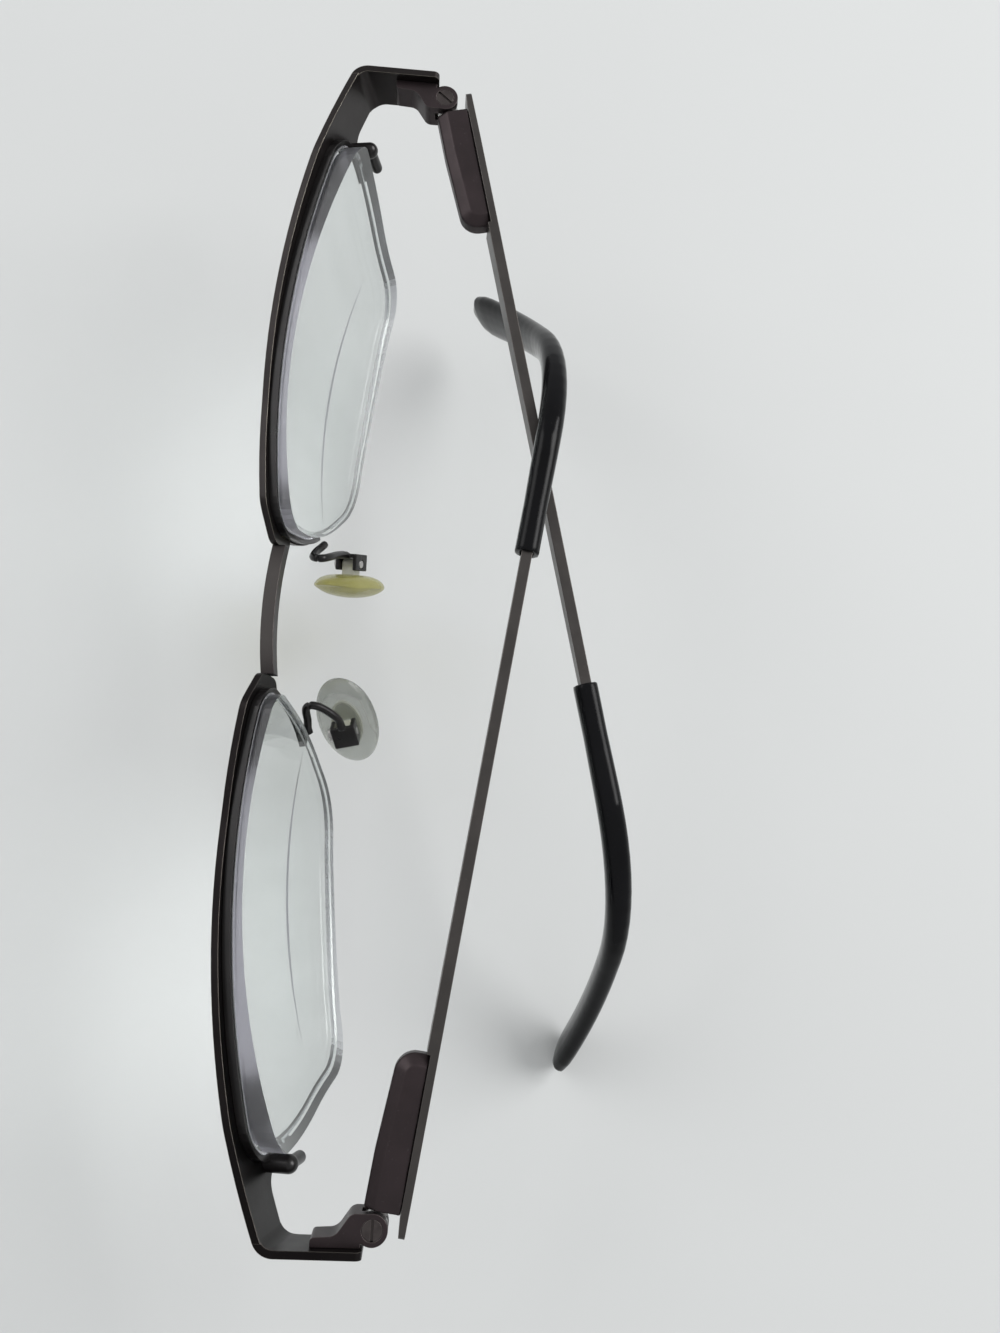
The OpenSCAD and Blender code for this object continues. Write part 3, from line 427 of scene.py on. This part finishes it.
def lensGlass(look):
    finish, tree, surface = newFinish("lensGlass")
    texture = look["noiseDetail"], look["noiseRoughness"]
    geometry = tree.nodes.new("ShaderNodeNewGeometry")
    dot = tree.nodes.new("ShaderNodeVectorMath")
    dot.operation = "DOT_PRODUCT"
    dot.inputs[1].default_value = throughFront
    tree.links.new(geometry.outputs["Normal"], dot.inputs[0])
    facing = mathNode(tree, "ABSOLUTE", dot.outputs["Value"])
    edge = rampBetween(tree, facing, look["edgeStart"], look["edgeEnd"])   # 1 on the ground edge

    clouds = noiseAt(tree, look["cloudScale"], *texture)
    cloudTint = tuple(look["cloudShade"] * c for c in look["edgeTintAndShade"])
    # darker ground edge: frosted grey plus painted shade
    edgeToneAndShade = mixColour(tree, clouds, look["edgeTintAndShade"], cloudTint)
    streaks = noiseAt(
        tree, look["streakScale"], look["streakDetail"], look["streakRoughness"],
        look["streakStretch"])
    faceTone = mixColour(tree, streaks, look["faceTint"], look["streakTint"])
    tree.links.new(mixColour(tree, edge, faceTone, edgeToneAndShade), surface.inputs["Base Color"])

    smear = mathNode(tree, "MULTIPLY", noiseAt(tree, look["smearScale"], *texture), look["smear"])
    rough = mathNode(tree, "MULTIPLY", edge, look["edgeRoughness"])
    tree.links.new(mathNode(tree, "ADD", rough, smear, True), surface.inputs["Roughness"])

    ground = mathNode(tree, "MULTIPLY", noiseAt(tree, look["grainScale"], *texture), edge)
    bump = addBump(tree, ground, look["grain"], look["grainDepth"])
    tree.links.new(bump, surface.inputs["Normal"])
    surface.inputs["Transmission Weight"].default_value = 1.0
    surface.inputs["IOR"].default_value = look["ior"]
    passLight(tree, surface, look["shadowTint"])
    return finish


# the same on every clear plastic
clearShared = {"roughnessSpread": 0.06, "grainDepth": 0.00003}


def clearPlastic(name, look):
    finish, tree, surface = newFinish(name)
    tone = useGroup(
        tree, toneShift, Colour=look["colour"], Second_Colour=look["secondColour"],
        Scale=look["toneScale"], Amount=look["toneAmount"])
    grain = useGroup(
        tree, surfaceGrain, Scale=look["grainScale"],
        Base_Roughness=look["roughness"], Spread=clearShared["roughnessSpread"])
    bump = addBump(tree, grain["Height"], look["grain"], clearShared["grainDepth"])
    tree.links.new(tone["Colour"], surface.inputs["Base Color"])
    tree.links.new(grain["Roughness"], surface.inputs["Roughness"])
    tree.links.new(bump, surface.inputs["Normal"])
    surface.inputs["Transmission Weight"].default_value = look["transmission"]
    surface.inputs["IOR"].default_value = look["ior"]
    passLight(tree, surface, look["shadowTint"])
    return finish


clearLooks = {
    "linerNylon": dict(
        colour=(0.90, 0.90, 0.93), secondColour=(0.80, 0.80, 0.84), toneScale=400.0, toneAmount=0.5,
        grainScale=2500.0, roughness=0.18, grain=0.1, transmission=0.85, ior=1.5,
        shadowTint=(0.85, 0.85, 0.87)),
    "cordNylon": dict(
        colour=(0.80, 0.82, 0.83), secondColour=(0.62, 0.64, 0.66), toneScale=300.0, toneAmount=0.6,
        grainScale=2500.0, roughness=0.15, grain=0.1, transmission=0.8, ior=1.53,
        shadowTint=(0.8, 0.8, 0.8)),
    "padAged": dict(
        colour=(0.52, 0.50, 0.20), secondColour=(0.40, 0.38, 0.13), toneScale=260.0, toneAmount=0.7,
        grainScale=1500.0, roughness=0.22, grain=0.25, transmission=0.55, ior=1.42,
        shadowTint=(0.75, 0.74, 0.5)),
    "padClear": dict(
        colour=(0.54, 0.56, 0.53), secondColour=(0.43, 0.44, 0.41), toneScale=260.0, toneAmount=0.6,
        grainScale=1500.0, roughness=0.16, grain=0.2, transmission=0.85, ior=1.42,
        shadowTint=(0.88, 0.89, 0.86)),
    "insertPlastic": dict(
        colour=(0.80, 0.80, 0.72), secondColour=(0.68, 0.67, 0.56), toneScale=400.0, toneAmount=0.6,
        grainScale=1800.0, roughness=0.25, grain=0.15, transmission=0.5, ior=1.49,
        shadowTint=(0.8, 0.8, 0.75)),
}
clears = {name: clearPlastic(name, look) for name, look in clearLooks.items()}
clears["lensGlass"] = lensGlass(lensLook)

sleeveLook = {
    "colour": (0.0025, 0.0025, 0.003), "secondColour": (0.005, 0.005, 0.006),
    "toneScale": 120.0, "toneAmount": 0.8, "dust": 0.02, "speckScale": 3200.0,
    "grainScale": 1400.0, "roughness": 0.08, "roughnessSpread": 0.05,
    "grain": 0.05, "grainDepth": 0.00002, "specular": 0.14, "softRadius": 0.0006,
}


def sleeveAcetate(look):
    finish, tree, surface = newFinish("sleeveBlack")
    tone = useGroup(
        tree, toneShift, Colour=look["colour"], Second_Colour=look["secondColour"],
        Scale=look["toneScale"], Amount=look["toneAmount"])
    dusty = useGroup(
        tree, dustFilm, Colour=tone["Colour"], Amount=look["dust"], Speck_Scale=look["speckScale"])
    soft = useGroup(tree, edgeWearAndHighlight, Radius=look["softRadius"], Amount=0.0)   # for its normal only
    grain = useGroup(
        tree, surfaceGrain, Scale=look["grainScale"],
        Base_Roughness=look["roughness"], Spread=look["roughnessSpread"])
    bump = addBump(tree, grain["Height"], look["grain"], look["grainDepth"], soft["Normal"])
    tree.links.new(dusty["Colour"], surface.inputs["Base Color"])
    tree.links.new(grain["Roughness"], surface.inputs["Roughness"])
    tree.links.new(bump, surface.inputs["Normal"])
    surface.inputs["Specular IOR Level"].default_value = look["specular"]
    return finish


sleeveBlack = sleeveAcetate(sleeveLook)
print("finishes made")

finishOfPiece = {
    "bridge": metals["bridge"], "brow_plate": metals["plate"], "eyewire": metals["rim"],
    "rim_liner": clears["linerNylon"], "lens": clears["lensGlass"],
    "lens_cord": clears["cordNylon"], "pad_arm": metals["rim"], "pad_screw": metals["steel"],
    "pad_insert": clears["insertPlastic"], "hinge_leaf": metals["hinge"],
    "hinge_screw": metals["screw"], "hinge_carriage": metals["steel"],
    "hinge_spring": metals["steel"], "spring_stop": metals["steel"],
    "hinge_housing": metals["hinge"], "temple_arm": metals["temple"], "temple_tip": sleeveBlack,
}
finishOfNode = {   # where the two sides differ
    "right_nose_pad": clears["padAged"], "left_nose_pad": clears["padClear"],
    # the left plate gets the shaded copy of the plate finish: painted shade
    "left_brow_plate": metals["plateLeftShaded"],
}


def finishFor(name):
    if name in finishOfNode:
        return finishOfNode[name]
    side, _, piece = name.partition("_")
    return finishOfPiece[piece if side in sides else name]


def setFinish(thing, finish):
    thing.data.materials.clear()
    thing.data.materials.append(finish)


for name, thing in nodes.items():
    setFinish(thing, finishFor(name))
print("solids finished")


# moulded, cast and polished pieces, with the rounded edges of the mould or the polishing drum:
# cell is the voxel size in millimetres, passes is how often the skin is smoothed, and
# keep is the share of faces left afterwards
softLooks = {
    "nose_pad": dict(pieceName="nosePad", body="pad", cell=0.13, passes=16, keep=0.35),
    "pad_arm": dict(pieceName="padArm", body="front_frame", cell=0.085, passes=11, keep=0.35),
    "hinge_housing": dict(pieceName="springHousing", body="temple", cell=0.11, passes=7, keep=0.3),
    "temple_tip": dict(pieceName="templeSleeve", body="temple", cell=0.15, passes=9, keep=0.3),
}
smoothingFactor = 0.5
toMillimetres = Matrix.Scale(1000.0, 4)
toMetres = Matrix.Scale(0.001, 4)


def addToScene(name, data):
    thing = bpy.data.objects.new(name, data)
    bpy.context.scene.collection.objects.link(thing)
    return thing


def shadeSmooth(mesh):
    for face in mesh.polygons:
        face.use_smooth = True


def addRoundedCopy(side, piece, look):
    node = side + "_" + piece
    mesh = nodes[node].data.copy()
    mesh.transform(toMillimetres)
    thing = addToScene(look["pieceName"] + "." + side, mesh)
    cells = thing.modifiers.new("cells", "REMESH")
    cells.mode = "VOXEL"
    cells.voxel_size = look["cell"]
    rounding = thing.modifiers.new("rounding", "SMOOTH")
    rounding.iterations = look["passes"]
    rounding.factor = smoothingFactor
    thinning = thing.modifiers.new("thinning", "DECIMATE")
    thinning.ratio = look["keep"]
    graph = bpy.context.evaluated_depsgraph_get()
    rounded = bpy.data.meshes.new_from_object(thing.evaluated_get(graph))
    thing.modifiers.clear()
    thing.data = rounded
    rounded.transform(toMetres)
    shadeSmooth(rounded)
    setFinish(thing, finishFor(node))
    body = look["body"] if look["body"] == "front_frame" else side + "_" + look["body"]
    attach(thing, body)
    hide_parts(node)
    return thing


# a nose pad thins towards its rim: screwToPad is how far its middle lies from the screw, in metres,
# and middle is the level that it thins to; rimPower sets how late it thins, rimLeast what stays
padLook = {"screwToPad": 0.00275, "middle": -0.00035, "rimPower": 6.0, "rimLeast": 0.3}


def jointOf(name):
    return next(joint for joint in frame["joints"] if joint["name"] == name)


def middleOf(points):
    return sum((v.co for v in points), Vector()) / len(points)


def thinPadRim(thing, side, look):
    joint = jointOf(side + "_pad_rock")
    across = Vector(joint["axis"]).normalized()
    screw = Vector(joint["pos_m"])
    points = thing.data.vertices
    through = screw - middleOf(points)
    through = (through - across * through.dot(across)).normalized()
    along = through.cross(across)
    centre = screw - through * look["screwToPad"]
    reach = max(abs((v.co - centre).dot(along)) for v in points)
    width = max(abs((v.co - centre).dot(across)) for v in points)
    for v in points:
        away = v.co - centre
        ring = min(1.0, math.hypot(away.dot(across) / width, away.dot(along) / reach))
        depth = away.dot(through)
        share = max(look["rimLeast"], math.sqrt(max(0.0, 1.0 - ring ** look["rimPower"])))
        v.co += through * (look["middle"] + (depth - look["middle"]) * share - depth)


for piece, look in softLooks.items():
    for side in sides:
        made = addRoundedCopy(side, piece, look)
        if piece == "nose_pad":
            thinPadRim(made, side, padLook)
        print("rounded", made.name, len(made.data.polygons), "faces")


# coil springs of the sprung hinges, which shorten as the hinge is pulled out; each copy here rides
# on its carriage at one length

def addCoil(side):
    node = side + "_hinge_spring"
    coil = addToScene("hingeCoil." + side, nodes[node].data.copy())
    shadeSmooth(coil.data)
    setFinish(coil, finishFor(node))
    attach(coil, side + "_carriage")
    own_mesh(coil)
    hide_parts(node)


for side in sides:
    addCoil(side)
print("coils made")


# stage, lamps and camera; lengths are in metres and powers in watts

stageLook = {
    "floorHeight": solidBox[0][2], "floorReach": 1.5,
    "floorColour": (0.62, 0.63, 0.625), "floorShade": 0.94, "shadeScale": 6.0, "shadeAmount": 0.5,
    "floorRoughness": 0.9, "worldColour": (0.74, 0.75, 0.76), "worldStrength": 0.73,
}
lampTarget = (0, 0.02, 0)
lampLooks = {
    "windowLamp": dict(place=(-0.30, 0.70, 0.65), size=(0.7, 0.5), power=7.5),
    "fillLamp": dict(place=(-0.4, -0.65, 0.6), size=(0.6, 0.6), power=2.6),
}


def makeFloor(look):
    reach, z = look["floorReach"], look["floorHeight"]
    corners = [(-reach, -reach, z), (reach, -reach, z), (reach, reach, z), (-reach, reach, z)]
    mesh = bpy.data.meshes.new("studioFloor")
    mesh.from_pydata(corners, [], [(0, 1, 2, 3)])
    floor = addToScene("studioFloor", mesh)
    finish, tree, surface = newFinish("floorPaint")
    shade = useGroup(
        tree, toneShift, Colour=look["floorColour"],
        Second_Colour=tuple(look["floorShade"] * c for c in look["floorColour"]),
        Scale=look["shadeScale"], Amount=look["shadeAmount"])
    tree.links.new(shade["Colour"], surface.inputs["Base Color"])
    surface.inputs["Roughness"].default_value = look["floorRoughness"]
    setFinish(floor, finish)


def makeWorld(look):
    world = bpy.data.worlds.new("softRoom")
    bpy.context.scene.world = world
    world.use_nodes = True
    back = world.node_tree.nodes["Background"]
    back.inputs["Color"].default_value = (*look["worldColour"], 1)
    back.inputs["Strength"].default_value = look["worldStrength"]


def addLamp(name, look):
    lamp = bpy.data.lights.new(name, "AREA")
    lamp.shape = "RECTANGLE"
    lamp.size, lamp.size_y = look["size"]
    lamp.energy = look["power"]
    thing = addToScene(name, lamp)
    thing.location = look["place"]
    towards = Vector(lampTarget) - Vector(look["place"])
    thing.rotation_euler = towards.to_track_quat("-Z", "Y").to_euler()


makeFloor(stageLook)
makeWorld(stageLook)
for name, look in lampLooks.items():
    addLamp(name, look)

# fitted to the photograph: its place, and what is right, down and forward in the picture
cameraLook = {
    "place": (0.0330805, 0.0203075, 0.1293181),
    "right": (-0.045604, 0.996616, 0.068385),
    "down": (0.976647, 0.058869, -0.206629),
    "forward": (-0.209956, 0.057365, -0.976027),
    "sensorWidth": 36.0, "focalLength": 39.6, "clipStart": 0.005, "clipEnd": 10.0,
}


def makeCamera(look):
    lens = bpy.data.cameras.new("photoCamera")
    lens.sensor_fit = "HORIZONTAL"
    lens.sensor_width = look["sensorWidth"]
    lens.lens = look["focalLength"]
    lens.clip_start = look["clipStart"]
    lens.clip_end = look["clipEnd"]
    camera = addToScene("photoCamera", lens)
    turn = Matrix((Vector(look["right"]), -Vector(look["down"]), -Vector(look["forward"])))
    camera.matrix_world = Matrix.Translation(Vector(look["place"])) @ turn.transposed().to_4x4()
    bpy.context.scene.camera = camera


makeCamera(cameraLook)
bpy.context.scene.view_settings.view_transform = "Standard"
print("stage, lamps and camera set")
